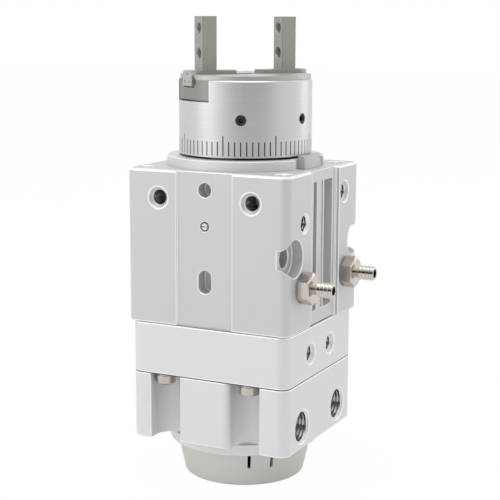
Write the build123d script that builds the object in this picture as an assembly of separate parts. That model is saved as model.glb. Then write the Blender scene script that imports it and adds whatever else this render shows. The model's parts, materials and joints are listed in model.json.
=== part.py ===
from build123d import *
import math
import os

# A pneumatic rotary gripper: a fixed body of three stacked aluminium blocks, a rotor that turns
# inside it, and two fingers that slide in a guide rail on top of the rotor.
# Origin: on the axis of rotation, at the top face of the upper block. +Z up, -Y is the front face,
# +X the side with the ports. Millimetres.

os.makedirs("parts", exist_ok=True)

# Clearances
slip = 0.02
running = 0.05
loose = 0.3

# Upper block
body_left = -24.5
pad_right = 25.5
rear_pad_rise = 1.1
body_front = -25.5
body_rear = 21.5
upper_height = 43.5
corner_r = 2.5
top_chamfer = 0.4
edge_break = 0.2
strip_half = 8.6
strip_depth = 0.6
rear_pad_y = 6.9
rear_pad_x = pad_right + rear_pad_rise

# Threads: the radius of the hole and of the screw that goes in it
m5_r = 2.1
m4_r = 1.65
m3_r = 1.25
m2_r = 0.8
m5_sink_r = 3.1
m4_sink_r = 2.3
tap_depth = 8.0

# Front face of the upper block
front_tap_x = 14.25
front_tap_z = -7.75
dowel_r = 2.0
dowel_depth = 4.0
dowel_z = -5.0
plug_r = 1.2
plug_z = -15.0
plug_length = 3.0
plug_gap = 0.12
plug_slot = 0.5
slot_r = 2.0
slot_tall = 6.5
slot_z = -30.5

# Top face taps
top_tap_x = 21.5
top_tap_front_y = -20.0
top_tap_rear_y = 16.0

# Side face of the upper block
rail_front_y = -10.1
rail_rear_y = 5.3
rail_gap = 0.7
rail_deep = 5.6
rail_drop = 0.5
groove_front_from = -8.97
groove_front_to = -6.59
groove_rear_from = -1.7
groove_rear_to = 4.16
groove_top = -3.1
groove_end = 4.3
groove_deep = 3.6
ridge_from = -3.9
ridge_to = -2.3
ridge_cut = 0.6
side_tap_front_y = -14.8
side_tap_front_z = -13.75
side_tap_rear_y = 10.7
side_tap_rear_z = -7.7
through_front_y = -20.9
through_rear_y = 18.2
through_z = -22.5
through_r = 2.75
front_counterbore_r = 5.2
rear_counterbore_r = 4.6
counterbore_deep = 3.4

# Air nipples
nipple_front_y = -16.3
nipple_rear_y = 11.7
nipple_z = -31.2
hex_flats = 8.0
hex_long = 3.4
hex_chamfer_slope = 0.5
gasket_thick = 0.35
gasket_r = 4.3
nipple_reach = 9.4
nipple_neck_r = 1.5
nipple_tube_r = 1.9
nipple_bore_r = 1.25
nipple_barb_r = 2.2
nipple_barbs = 4
nipple_barb_high = 1.1
nipple_thread_long = 4.0

# Middle plate and lower block
stack_left = -23.5
stack_right = 25.3
stack_r = 3.2
plate_height = 14.7
lower_height = 19.2
port_front_y = -9.0
port_rear_y = 4.6
port_z = -51.3
port_deep = 7.0
air_r = 0.8
channel_x = 12.4
channel_half = 4.75
channel_deep = 7.9
channel_round = 1.6
clamp_left_x = -14.0
clamp_right_x = 12.6
clamp_inset = 3.3
clamp_head_r = 2.8
clamp_head_high = 2.5
clamp_washer_r = 2.5
clamp_washer_thick = 0.7
clamp_shank_r = 1.5
clamp_reach = 12.0
clamp_socket_af = 2.5

# Vane motor
chamber_r = 13.0
chamber_high = 8.3
chamber_floor = 1.5
lever_room_r = 15.5
hub_r = 6.0
journal_r = 4.0
shaft_rise = 5.3
tongue_rise = 3.7
bush_wall = 1.5
plate_bush_high = 5.0
vane_half = 2.0
vane_root = 2.0
vane_lip = 1.2
vane_gap = 0.5
stopper_angle = -12.6
stopper_half_angle = 25.0
stop_lever_thick = 5.0
stop_lever_half = 2.5
stop_lever_long = 15.0
stop_hub_r = 8.1

# Angle adjusters
adjuster_front_y = -14.45
adjuster_rear_y = 10.75
adjuster_z = -71.2
adjuster_tip_r = 2.5
adjuster_r = 4.2
adjuster_sink_r = 4.85
adjuster_step_x = 19.0
adjuster_head_long = 1.8
adjuster_socket_af = 4.0
adjuster_socket_deep = 1.5

# Bottom ring and cap
ring_r = 22.0
ring_high = 3.4
ring_round = 1.0
cap_r = 19.7
cap_high = 10.2
cap_low_r = 17.45
cap_round = 1.0
cap_wall = 1.8
cap_slot_wide = 0.9
cap_slot_front_angle = -59.4
cap_slot_rear_angle = -39.2
cap_slot_deep = 4.6
cap_slot_in = 3.4
cap_screw_pcd = 27.0
cap_screw_head_r = 1.7
cap_screw_head_high = 1.3
cap_screw_sunk = 1.6
cap_screw_grip = 2.4
cap_screw_socket_af = 1.3
cap_pillar_r = 2.2
ring_screw_pcd = 36.0
ring_screw_angles = (-20.0, 20.0, 160.0, 200.0)
ring_screw_grip = 4.4
ring_screw_head_r = 2.4
ring_screw_head_high = 1.8
ring_screw_sunk = 0.2
ring_screw_gap = 0.35
ring_screw_socket_af = 2.0

# Boss ring and scale pointer
boss_r = 22.5
boss_high = 2.75
boss_lip = 2.1
pointer_seat = 2.6
pointer_top = 3.6
pointer_inset = 0.35
pointer_taper = 0.7
pointer_from = -25.4
pointer_to = 16.6
pointer_line_from = -16.6
pointer_line_to = -14.0
pointer_line_rise = 0.15

# Dial
dial_r = 19.0
dial_wall = 2.5
dial_low = 3.4
dial_top = 24.4
dial_chamfer = 0.35
dial_turn = -2.4
mark_step = 5.0
mark_wide = 0.32
mark_deep = 0.12
mark_low = 3.87
mark_top = 7.75
mark_major_top = 9.4
marks_per_major = 9
set_screw_z = 13.7
set_screw_r = 1.5
set_screw_bite = 1.2
set_screw_angles = (-120.0, -60.0, 60.0, 120.0)
set_screw_socket_af = 1.5

# Opening direction of the fingers, counted from +X towards +Y
opening_angle = 55.0

# Guide rail
rail_half = 9.3
rail_low = 18.7
rail_top = 25.7
rail_inset = 0.4
rail_flat = 1.0
rail_flange = dial_top
channel_floor = 22.2
channel_wall_n = 4.35
rail_screw_s = 8.0
rail_screw_edge = 3.9
rail_screw_head_r = 1.9
rail_screw_sunk = 0.9
rail_screw_shank_r = 1.0
rail_screw_long = 7.0
rail_screw_socket_af = 1.3

# Fingers
finger_travel = 3.0
slider_inner = 3.4
slider_half = 3.3
slider_top = 26.9
crown_thick = 1.4
crown_half = 2.85
crown_gap = 0.3
crown_round = 1.5
foot_low = 25.6
foot_top = 26.8
foot_half = 2.5
foot_inner = 4.2
post_inner = 10.45
post_outer = 15.05
post_half = 2.5
post_top = 41.7
finger_hole_top = 38.45
finger_hole_pitch = 7.0
finger_hole_sink_r = 1.7
ball_r = 0.6
ball_z = 23.9
ball_pitch = 2.0
ball_count = 5

# Levers and rod joint
pivot_s = 9.0
pivot_z = 14.9
pin_r = 1.25
pin_half = 9.0
lever_half = 1.8
lever_gap = 0.2
lever_tip_z = 23.7
lever_tip_r = 1.3
lever_in = 6.5
lever_in_tip_r = 1.2
lever_arm_half = 1.1
lever_in_half = 0.8
lever_boss_r = 2.7
spool_r = 3.8
spool_disc = 1.2
spool_neck_r = 1.0

# Position sensor
shaft_gap = 2.4
arm_high = 3.0
arm_half = 2.2
arm_long = 10.5
magnet_r = 1.5
magnet_place = 8.4
magnet_floor = 0.6
board_r = 10.9
board_thick = 1.2
switch_from = 7.0
switch_to = 10.0
switch_half = 1.2
switch_high = 2.6

# Rotor and piston
tube_r = 14.0
cylinder_r = 10.5
tube_end = 1.5
cylinder_top = -8.0
rod_r = 3.0
rotor_shoulder = 0.6
piston_rest = 10.0
piston_high = 8.0
seal_section = 1.0
top_seal_z = -13.0
middle_seal_rise = 13.0
low_seal_rise = 2.0
magnet_high = 2.0
end_plug_high = 4.0
coupling_r = 7.0
coupling_room = 2.5
tongue_half = 1.8
tongue_high = 3.0
bearing_high = 5.0
bearing_wide = 5.0
bearing_ring = 1.6
lower_bush_wall = 2.5
lower_bush_high = 4.0

# Worked out
plate_top = -upper_height
groove_bottom = plate_top + groove_end
lower_top = plate_top - plate_height
lower_low = lower_top - lower_height
ring_low = lower_low - ring_high
cap_low = ring_low - cap_high
chamber_low = lower_top - chamber_high
lever_room_top = chamber_low - chamber_floor
tongue_low = lower_top + shaft_rise
lever_up = lever_tip_z - pivot_z
swing = finger_travel / lever_up
lever_tilt = swing / 2
clamp_front_y = body_front + clamp_inset
clamp_rear_y = body_rear - clamp_inset
rotor_head_r = dial_r - dial_wall
bearing_r = tube_r + bearing_wide
boss_bore_r = bearing_r - boss_lip
lower_bush_r = tube_r + lower_bush_wall
tube_low = plate_top + lower_bush_high + tube_end
piston_low = tube_low + end_plug_high + piston_rest
rail_r = dial_r - rail_inset
rail_end = dial_r - rail_flat
rail_screw_n = rotor_head_r - rail_screw_edge
slider_outer = dial_r - rail_inset
shaft_low = cap_low + cap_wall + shaft_gap
vane_angle = 90.0 + opening_angle


def cyl(r, z0, z1, x=0.0, y=0.0):
    """A solid cylinder along Z."""
    return Pos(x, y, (z0 + z1) / 2) * Cylinder(r, z1 - z0)


def cyl_x(r, x0, x1, y, z):
    """A solid cylinder along X."""
    return Pos((x0 + x1) / 2, y, z) * Rot(0, 90, 0) * Cylinder(r, x1 - x0)


def cyl_y(r, y0, y1, x, z):
    """A solid cylinder along Y."""
    return Pos(x, (y0 + y1) / 2, z) * Rot(90, 0, 0) * Cylinder(r, y1 - y0)


def block(x0, x1, y0, y1, z0, z1):
    """A box between two corners."""
    return Pos((x0 + x1) / 2, (y0 + y1) / 2, (z0 + z1) / 2) * Box(x1 - x0, y1 - y0, z1 - z0)


def rounded(x0, x1, y0, y1, z0, z1, r):
    """A box with rounded vertical corners."""
    face = Pos((x0 + x1) / 2, (y0 + y1) / 2, z0) * RectangleRounded(x1 - x0, y1 - y0, r)
    return extrude(face, amount=z1 - z0)


def tube(r_out, r_in, z0, z1):
    """A ring along Z."""
    return cyl(r_out, z0, z1) - cyl(r_in, z0 - 1, z1 + 1)


def cone_x(r_small, r_big, x_face, y, z, side=1):
    """A 45 degree countersink that opens on a face square to X."""
    deep = r_big - r_small
    tool = Cone(r_small, r_big, deep)
    return Pos(x_face - side * deep / 2, y, z) * Rot(0, 90 * side, 0) * tool


def cone_y(r_small, r_big, y_face, x, z):
    """A 45 degree countersink that opens on the front."""
    deep = r_big - r_small
    tool = Cone(r_small, r_big, deep)
    return Pos(x, y_face + deep / 2, z) * Rot(90, 0, 0) * tool


def cone_z(r_small, r_big, z_face, x, y):
    """A 45 degree countersink that opens upwards."""
    deep = r_big - r_small
    return Pos(x, y, z_face - deep / 2) * Cone(r_small, r_big, deep)


def hexagon(across_flats, z0, z1):
    """A hexagonal prism along Z with two of its vertices on X."""
    face = Pos(0, 0, z0) * RegularPolygon(across_flats / 2, 6, major_radius=False)
    return extrude(face, amount=z1 - z0)


def wedge(r, angle_from, angle_to, z0, z1):
    """A sector of a disc between two angles in degrees, less than 180 apart."""
    a = math.radians(angle_from)
    m = math.radians((angle_from + angle_to) / 2)
    b = math.radians(angle_to)
    far = r / math.cos((b - a) / 2) * 1.001
    corners = [(0, 0)]
    for angle in (a, m, b):
        corners.append((far * math.cos(angle), far * math.sin(angle)))
    face = make_face(Polyline(*corners, close=True))
    sector = extrude(Pos(0, 0, z0) * face, amount=z1 - z0)
    return sector & cyl(r, z0, z1)


def turned(shape):
    """Turn a shape made along X to the opening direction."""
    return Rot(0, 0, opening_angle) * shape


def at_angle(shape, angle):
    """Turn a shape about the axis of rotation."""
    return Rot(0, 0, angle) * shape


def grouped(shapes):
    """Keep separate solids together in one part."""
    solids = []
    for shape in shapes:
        solids.extend(shape.solids())
    return Compound(children=solids)


def save(shape, name):
    """Write one named piece."""
    solids = shape.solids()
    body = solids[0] if len(solids) == 1 else Compound(children=list(solids))
    export_step(body, "parts/" + name + ".step")


def cap_screw(shank_r, head_r, head_high, under_head, length, socket_af):
    """A socket cap screw along +Z, with its head below the given height."""
    shank = cyl(shank_r, under_head, under_head + length)
    head = cyl(head_r, under_head - head_high, under_head)
    head = chamfer(head.edges().filter_by(GeomType.CIRCLE).sort_by(Axis.Z)[0], 0.3)
    socket = hexagon(socket_af, under_head - head_high - 1, under_head - head_high / 2)
    return shank + head - socket


# Upper block

def front_features():
    """Holes and the recessed strip of the front face."""
    cuts = block(-strip_half, strip_half, body_front - 1, body_front + strip_depth, -upper_height - 1, 1)
    strip_y = body_front + strip_depth
    for side in (-1, 1):
        x = side * front_tap_x
        cuts += cyl_y(m5_r, body_front - 1, body_front + tap_depth, x, front_tap_z)
        cuts += cone_y(m5_r, m5_sink_r, body_front, x, front_tap_z)
    cuts += cyl_y(dowel_r, strip_y - 1, strip_y + dowel_depth, 0, dowel_z)
    cuts += cyl_y(plug_r + plug_gap, strip_y - 1, strip_y + plug_length, 0, plug_z)
    straight = slot_tall / 2 - slot_r
    cuts += cyl_y(slot_r, strip_y - 1, strip_y + dowel_depth, 0, slot_z + straight)
    cuts += cyl_y(slot_r, strip_y - 1, strip_y + dowel_depth, 0, slot_z - straight)
    cuts += block(-slot_r, slot_r, strip_y - 1, strip_y + dowel_depth, slot_z - straight, slot_z + straight)
    return cuts


def side_features():
    """Holes of the port side: tapped, through and for the nipples."""
    cuts = cyl_x(m5_r, pad_right - tap_depth, pad_right + 2, side_tap_front_y, side_tap_front_z)
    cuts += cone_x(m5_r, m5_r + 0.6, pad_right, side_tap_front_y, side_tap_front_z)
    cuts += cyl_x(m5_r, rear_pad_x - tap_depth, rear_pad_x + 1, side_tap_rear_y, side_tap_rear_z)
    cuts += cone_x(m5_r, m5_sink_r, rear_pad_x, side_tap_rear_y, side_tap_rear_z)
    front_hole = (through_front_y, pad_right, front_counterbore_r)
    rear_hole = (through_rear_y, rear_pad_x, rear_counterbore_r)
    for y, face, sink_r in (front_hole, rear_hole):
        cuts += cyl_x(through_r, body_left - 1, face + 1, y, through_z)
        cuts += cyl_x(sink_r, face - counterbore_deep, face + 1, y, through_z)
    for y, face in ((nipple_front_y, pad_right), (nipple_rear_y, rear_pad_x)):
        cuts += cyl_x(m5_r, face - tap_depth, face + 1, y, nipple_z)
    return cuts


def upper_block():
    """The cylinder housing of the gripper, with its pads and its switch rail pocket."""
    body = rounded(body_left, pad_right, body_front, body_rear, -upper_height, 0, corner_r)
    pad = rounded(pad_right - 10, rear_pad_x, rear_pad_y, body_rear, -upper_height, 0, corner_r)
    pad += block(pad_right - 10, rear_pad_x, rear_pad_y, rear_pad_y + corner_r, -upper_height, 0)
    body += pad
    top_edges = body.faces().sort_by(Axis.Z)[-1].edges()
    body = chamfer(top_edges, top_chamfer)
    low_edges = body.faces().sort_by(Axis.Z)[0].edges()
    body = chamfer(low_edges, edge_break)
    body -= front_features()
    body -= side_features()
    for x in (-top_tap_x, top_tap_x):
        for y in (top_tap_front_y, top_tap_rear_y):
            body -= cyl(m4_r, -tap_depth, 1, x, y)
            body -= cone_z(m4_r, m4_sink_r, 0, x, y)
    pocket_x = pad_right - rail_deep - slip
    body -= block(pocket_x, rear_pad_x + 1, rail_front_y - slip, rail_rear_y + rail_gap, -upper_height - 1, 1)
    body -= cyl(tube_r + running, -upper_height - 1, 1)
    body -= cyl(bearing_r + slip, -bearing_high - rotor_shoulder, 1)
    body -= cyl(lower_bush_r + slip, -upper_height - 1, tube_low)
    for x in (clamp_left_x, clamp_right_x):
        for y in (clamp_front_y, clamp_rear_y):
            body -= cyl(clamp_shank_r + slip, plate_top - 1, plate_top + clamp_reach, x, y)
    return body


def switch_rail():
    """The extruded insert with two switch grooves, let into the port side."""
    low = -upper_height + rail_drop
    body = block(pad_right - rail_deep, pad_right, rail_front_y, rail_rear_y, low, 0)
    for y0, y1 in ((groove_front_from, groove_front_to), (groove_rear_from, groove_rear_to)):
        body -= block(pad_right - groove_deep, pad_right + 1, y0, y1, groove_bottom, groove_top)
    body -= block(pad_right - ridge_cut, pad_right + 1, ridge_from, ridge_to, groove_bottom, groove_top)
    return body


def slotted_plug():
    """The small slotted screw that closes the vent on the front."""
    face_y = body_front + strip_depth
    body = cyl_y(plug_r, face_y + slip, face_y + plug_length - slip, 0, plug_z)
    half = plug_slot / 2
    slot = block(-plug_r, plug_r, face_y - 1, face_y + plug_slot, plug_z - half, plug_z + half)
    return body - slot


def boss_ring():
    """The locating ring on top of the block, which holds the bearing down."""
    body = tube(boss_r, boss_bore_r, 0, boss_high)
    body -= block(-boss_r, boss_r, body_rear, body_rear + boss_r, -1, boss_high + 1)
    seat = cyl(boss_r - pointer_seat, -1, boss_high + 1)
    body -= wedge(boss_r + 1, pointer_from, pointer_to, -1, boss_high + 1) - seat
    return body


def scale_pointer():
    """The pointer block beside the dial, with its raised index line."""
    outer = boss_r - pointer_inset
    body = wedge(outer, pointer_line_from, pointer_to, slip, pointer_top)
    body &= Pos(0, 0, pointer_top / 2) * Cone(outer, outer - pointer_taper, pointer_top)
    line = wedge(outer + pointer_line_rise, pointer_line_from, pointer_line_to, slip, pointer_top)
    body += line
    body -= cyl(boss_r - pointer_seat + slip, -1, pointer_top + 1)
    return body


def nipple(face_x, y):
    """A hose nipple with a chamfered hexagon, a barbed end and a threaded foot, along X."""
    top = gasket_thick + hex_long
    vertex_r = hex_flats / 2 / math.cos(math.radians(30))
    bevel = (vertex_r - hex_flats / 2 * 0.92) * hex_chamfer_slope
    lathe = cyl(vertex_r, gasket_thick, top - bevel)
    lathe += Pos(0, 0, top - bevel / 2) * Cone(vertex_r, hex_flats / 2 * 0.92, bevel)
    body = hexagon(hex_flats, gasket_thick, top) & lathe
    body += cyl(nipple_neck_r, 0, nipple_reach)
    for k in range(nipple_barbs):
        barb_z = nipple_reach - (k + 0.5) * nipple_barb_high
        body += Pos(0, 0, barb_z) * Cone(nipple_barb_r, nipple_tube_r - 0.2, nipple_barb_high)
    body += cyl(m5_r - slip, -nipple_thread_long, gasket_thick)
    body -= cyl(nipple_bore_r, -nipple_thread_long - 1, nipple_reach + 1)
    return Pos(face_x, y, nipple_z) * Rot(0, 90, 0) * body


def gasket(face_x, y):
    """The sealing washer under a nipple."""
    ring = tube(gasket_r, m5_r + slip, slip, gasket_thick - slip)
    return Pos(face_x, y, nipple_z) * Rot(0, 90, 0) * ring


# Middle plate and lower block

def broken_edges(body):
    """A block with the outlines of its top and bottom face chamfered."""
    faces = body.faces().sort_by(Axis.Z)
    return chamfer(faces[0].edges() + faces[-1].edges(), edge_break)


def middle_plate():
    """The plate between the two blocks, with the two vane ports."""
    body = rounded(stack_left, stack_right, body_front, body_rear, lower_top + slip, plate_top - slip, stack_r)
    body = broken_edges(body)
    body -= cyl(coupling_r + coupling_room, lower_top + plate_bush_high, plate_top + 1)
    body -= cyl(journal_r + bush_wall + slip, lower_top - 1, plate_top)
    for y in (port_front_y, port_rear_y):
        inner = math.sqrt((chamber_r - vane_lip) ** 2 - y ** 2)
        body -= cyl_x(m5_r, stack_right - port_deep, stack_right + 1, y, port_z)
        body -= cone_x(m5_r, m5_sink_r, stack_right, y, port_z)
        body -= cyl_x(air_r, inner - air_r, stack_right - port_deep + 1, y, port_z)
        body -= cyl(air_r, lower_top - 1, port_z, inner, y)
    for x in (clamp_left_x, clamp_right_x):
        for y in (clamp_front_y, clamp_rear_y):
            body -= cyl(clamp_shank_r + loose, lower_top - 1, plate_top + 1, x, y)
    for angle in ring_screw_angles:
        x, y = polar(ring_screw_pcd / 2, angle)
        body -= cyl(m3_r, lower_top - 1, lower_top + ring_screw_grip + 0.6, x, y)
    return body


def polar(r, angle):
    """A point at a radius and an angle in degrees."""
    return r * math.cos(math.radians(angle)), r * math.sin(math.radians(angle))


def channel_cut(x, rear):
    """One screw channel of the lower block, open to the face it is on."""
    y_face = body_rear if rear else body_front
    inward = -1 if rear else 1
    centre = y_face + inward * (channel_deep - channel_half)
    outside = y_face - inward
    y0, y1 = min(centre, outside), max(centre, outside)
    straight = block(x - channel_half, x + channel_half, y0, y1, lower_low - 1, lower_top + 1)
    return straight + cyl(channel_half, lower_low - 1, lower_top + 1, x, centre)


def lower_block():
    """The vane housing, with its chamber, the lever room below it and four screw channels."""
    body = rounded(stack_left, stack_right, body_front, body_rear, lower_low, lower_top - slip, stack_r)
    body = broken_edges(body)
    for x in (-channel_x, channel_x):
        for rear in (False, True):
            body -= channel_cut(x, rear)
    inner_x = channel_x - channel_half
    corner = body.edges().filter_by(Axis.Z).sort_by_distance((inner_x, body_front, (lower_low + lower_top) / 2))[0]
    body = fillet(corner, channel_round)
    body -= cyl(chamber_r, chamber_low, lower_top + 1)
    body -= cyl(hub_r + running, lever_room_top - 1, chamber_low + 1)
    body -= cyl(lever_room_r, lower_low - 1, lever_room_top)
    for y in (adjuster_front_y, adjuster_rear_y):
        body -= cyl_x(adjuster_tip_r + slip, 0, stack_right, y, adjuster_z)
        body -= cyl_x(adjuster_r + slip, adjuster_step_x, stack_right + 1, y, adjuster_z)
        body -= cone_x(adjuster_r + slip, adjuster_sink_r, stack_right, y, adjuster_z)
    for angle in ring_screw_angles:
        x, y = polar(ring_screw_pcd / 2, angle)
        body -= cyl(m3_r + ring_screw_gap, lower_low - 1, lower_top + 1, x, y)
    return body


def clamp_screws():
    """The four M4 screws that clamp plate and upper block, heads in the channels."""
    screws = []
    under = lower_top - clamp_washer_thick
    length = plate_height + clamp_washer_thick + clamp_reach - 1.0
    screw = cap_screw(clamp_shank_r, clamp_head_r, clamp_head_high, under, length, clamp_socket_af)
    for x in (clamp_left_x, clamp_right_x):
        for y in (clamp_front_y, clamp_rear_y):
            screws.append(Pos(x, y, 0) * screw)
    return grouped(screws)


def clamp_washers():
    """The spring washers under the heads of the clamp screws."""
    rings = []
    for x in (clamp_left_x, clamp_right_x):
        for y in (clamp_front_y, clamp_rear_y):
            ring = tube(clamp_washer_r, clamp_shank_r + slip, lower_top - clamp_washer_thick + slip, lower_top)
            rings.append(Pos(x, y, 0) * ring)
    return grouped(rings)


def angle_adjusters():
    """The two stepped set screws that limit the rotation."""
    screws = []
    inner = stop_lever_half + loose
    head = adjuster_step_x + slip
    outer = head + adjuster_head_long
    for y in (adjuster_front_y, adjuster_rear_y):
        screw = cyl_x(adjuster_tip_r, inner, outer, y, adjuster_z)
        screw += cyl_x(adjuster_r, head, outer, y, adjuster_z)
        socket = Rot(0, 90, 0) * hexagon(adjuster_socket_af, 0, 2 * adjuster_socket_deep)
        screws.append(screw - Pos(outer - adjuster_socket_deep, y, adjuster_z) * socket)
    return grouped(screws)


def bottom_ring():
    """The round cover under the lower block, which carries the lower shaft bush."""
    body = cyl(ring_r, ring_low, lower_low - slip)
    low_edge = body.edges().filter_by(GeomType.CIRCLE).sort_by(Axis.Z)[0]
    body = fillet(low_edge, ring_round)
    body -= cyl(journal_r + bush_wall + slip, ring_low - 1, lower_low + 1)
    for angle in ring_screw_angles:
        x, y = polar(ring_screw_pcd / 2, angle)
        body -= cyl(m3_r + ring_screw_gap, ring_low - 1, lower_low + 1, x, y)
        sunk = ring_low + ring_screw_head_high + ring_screw_sunk
        body -= cyl(ring_screw_head_r + running, ring_low - 1, sunk, x, y)
    for k in range(3):
        x, y = polar(cap_screw_pcd / 2, 120 * k)
        body -= cyl(m2_r + slip, ring_low - 1, lower_low + 1, x, y)
    return body


def ring_screws():
    """The four long screws from the bottom ring into the middle plate."""
    screws = []
    under = ring_low + ring_screw_head_high + ring_screw_sunk - slip
    length = lower_top + ring_screw_grip - under
    shank_r = m3_r - slip
    screw = cap_screw(shank_r, ring_screw_head_r, ring_screw_head_high, under, length, ring_screw_socket_af)
    for angle in ring_screw_angles:
        x, y = polar(ring_screw_pcd / 2, angle)
        screws.append(Pos(x, y, 0) * screw)
    return grouped(screws)


def cap_shape(inset):
    """The outer form of the cap, or its inside when inset is the wall."""
    top = ring_low - slip
    r0 = cap_r - inset
    r1 = cap_low_r - inset
    low = cap_low + inset
    face = make_face(Polyline((0, top), (r0, top), (r1, low), (0, low), close=True))
    body = revolve(Plane.XZ * face, Axis.Z)
    low_edge = body.edges().filter_by(GeomType.CIRCLE).sort_by(Axis.Z)[0]
    return fillet(low_edge, cap_round)


def cap():
    """The plastic cap over the position sensor, with two cable slots."""
    body = cap_shape(0) - (cap_shape(cap_wall) & cyl(cap_r, cap_low, ring_low + 1))
    for k in range(3):
        x, y = polar(cap_screw_pcd / 2, 120 * k)
        body += cyl(cap_pillar_r, cap_low + slip, ring_low - slip, x, y)
    for k in range(3):
        x, y = polar(cap_screw_pcd / 2, 120 * k)
        body -= cyl(m2_r + running, cap_low - 1, ring_low + 1, x, y)
        body -= cyl(cap_screw_head_r + running, cap_low - 1, cap_low + cap_screw_sunk, x, y)
    for angle in (cap_slot_front_angle, cap_slot_rear_angle):
        slot = block(cap_low_r - cap_slot_in, cap_r + 1, -cap_slot_wide / 2, cap_slot_wide / 2,
                     ring_low - cap_slot_deep, ring_low + 1)
        body -= at_angle(slot, angle)
    return body


def cap_screws():
    """The three small screws of the cap."""
    screws = []
    under = cap_low + cap_screw_sunk - slip
    length = cap_high - cap_screw_sunk + cap_screw_grip
    screw = cap_screw(m2_r, cap_screw_head_r, cap_screw_head_high, under, length, cap_screw_socket_af)
    for k in range(3):
        x, y = polar(cap_screw_pcd / 2, 120 * k)
        screws.append(Pos(x, y, 0) * screw)
    return grouped(screws)


# Vane motor

def vane_shaft():
    """The driven shaft, from the sensor at the bottom to the coupling tongue at the top."""
    hub = cyl(hub_r, lever_room_top - stop_lever_thick - loose, lower_top - loose)
    body = hub + cyl(journal_r, shaft_low, tongue_low)
    tongue_reach = coupling_r - 1.5
    body += block(-tongue_reach, tongue_reach, -tongue_half, tongue_half, tongue_low, tongue_low + tongue_rise)
    half = vane_half + slip
    slot = block(hub_r - vane_root, hub_r + 1, -half, half, chamber_low + loose / 2, lower_top - loose / 2)
    return body - at_angle(slot, vane_angle)


def vane():
    """The vane that the air pushes round in the chamber."""
    low, high = chamber_low + loose, lower_top - vane_gap
    body = block(hub_r - vane_root + slip, chamber_r - vane_lip, -vane_half, vane_half, low, high)
    return at_angle(body, vane_angle)


def vane_seal():
    """The rubber lip on the outer end of the vane."""
    low, high = chamber_low + loose, lower_top - vane_gap
    body = block(chamber_r - vane_lip, chamber_r + 1, -vane_half, vane_half, low, high)
    body &= cyl(chamber_r - running, chamber_low, lower_top)
    return at_angle(body, vane_angle)


def stopper():
    """The fixed wall that parts the chamber."""
    low = stopper_angle - stopper_half_angle
    high = stopper_angle + stopper_half_angle
    body = wedge(chamber_r - slip, low, high, chamber_low + slip, lower_top - slip)
    return body - cyl(hub_r + running, -90, 0)


def stop_lever():
    """The lever on the shaft that meets the angle adjusters."""
    top = lever_room_top - loose
    body = block(0, stop_lever_long, -stop_lever_half, stop_lever_half, top - stop_lever_thick, top)
    body &= cyl(lever_room_r - 0.4, top - stop_lever_thick, top)
    body += cyl(stop_hub_r, top - stop_lever_thick, top)
    body -= cyl(hub_r + slip, top - stop_lever_thick - 1, top + 1)
    return at_angle(body, vane_angle)


def shaft_bush(z0, z1):
    """A plain bush of the vane shaft."""
    return tube(journal_r + bush_wall, journal_r + running, z0, z1)


def magnet_arm():
    """The arm on the shaft's lower end that carries the sensor magnet."""
    top = shaft_low + arm_high
    body = cyl(journal_r + 2, shaft_low, top) + block(0, arm_long, -arm_half, arm_half, shaft_low, top)
    body -= cyl(journal_r + slip, shaft_low - 1, top + 1)
    body -= cyl(magnet_r + slip, shaft_low + magnet_floor, top + 1, magnet_place, 0)
    return at_angle(body, vane_angle)


def switch_board():
    """The board under the bottom ring with its two position switches."""
    top = ring_low - slip
    body = tube(board_r, journal_r + bush_wall + 0.5, top - board_thick, top)
    for angle in (cap_slot_front_angle, cap_slot_rear_angle):
        low, high = top - switch_high, top - board_thick / 2
        switch = block(switch_from, switch_to, -switch_half, switch_half, low, high)
        body += at_angle(switch, angle)
    return body


def sensor_magnet():
    """The small round magnet in the arm."""
    x, y = polar(magnet_place, vane_angle)
    return cyl(magnet_r, shaft_low + magnet_floor + slip, shaft_low + arm_high, x, y)


# Rotor

def coupling():
    """The cross coupling between the vane shaft and the rotor's end plug."""
    z0 = tongue_low + loose
    z1 = tube_low - 0.2
    body = cyl(coupling_r, z0, z1)
    half = tongue_half + slip
    far = coupling_r + 1
    body -= block(-far, far, -half, half, z0 - 1, tongue_low + tongue_rise + 0.2)
    body -= block(-half, half, -far, far, tube_low - tongue_high - 0.2, z1 + 1)
    return body


def end_plug():
    """The plug that closes the rotor's cylinder and takes the coupling."""
    body = cyl(cylinder_r - slip, tube_low + slip, tube_low + end_plug_high)
    body += block(-tongue_half, tongue_half, -coupling_r + 0.5, coupling_r - 0.5,
                  tube_low - tongue_high, tube_low + slip)
    return body


def rotor():
    """The rotating body: cylinder tube below, head with the lever slot above."""
    tube_part = cyl(tube_r, tube_low, dial_low)
    head = cyl(rotor_head_r - slip, dial_low - 0.3, rail_flange - slip)
    body = tube_part + head
    body -= cyl(cylinder_r, tube_low - 1, cylinder_top)
    body -= cyl(rod_r + bush_wall + slip, cylinder_top - 1, cylinder_top + 6)
    body -= cyl(spool_r + loose, cylinder_top + 5, pivot_z + 5)
    reach = pivot_s + lever_boss_r + 1.0
    half = lever_half + lever_gap
    body -= turned(block(-reach, reach, -half, half, pivot_z - lever_boss_r - 1.6, rail_flange + 1))
    half = rail_half + slip
    body -= turned(block(-dial_r, dial_r, -half, half, rail_low - slip, rail_flange + 1))
    for s in (-pivot_s, pivot_s):
        body -= turned(cyl_y(pin_r + slip, -pin_half - slip, pin_half + slip, s, pivot_z))
    for s in (-rail_screw_s, rail_screw_s):
        for n in (-rail_screw_n, rail_screw_n):
            hole = cyl(rail_screw_shank_r + slip, rail_flange - rail_screw_long, rail_flange + 1, s, n)
            body -= turned(hole)
    for angle in set_screw_angles:
        tip = cyl_x(set_screw_r + slip, rotor_head_r - set_screw_bite - slip, rotor_head_r + 1, 0, set_screw_z)
        body -= at_angle(tip, opening_angle + dial_turn + angle)
    for z in seal_heights():
        body -= tube(tube_r + 1, tube_r - seal_section, z - seal_section * 0.6, z + seal_section * 0.6)
    return body


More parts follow.
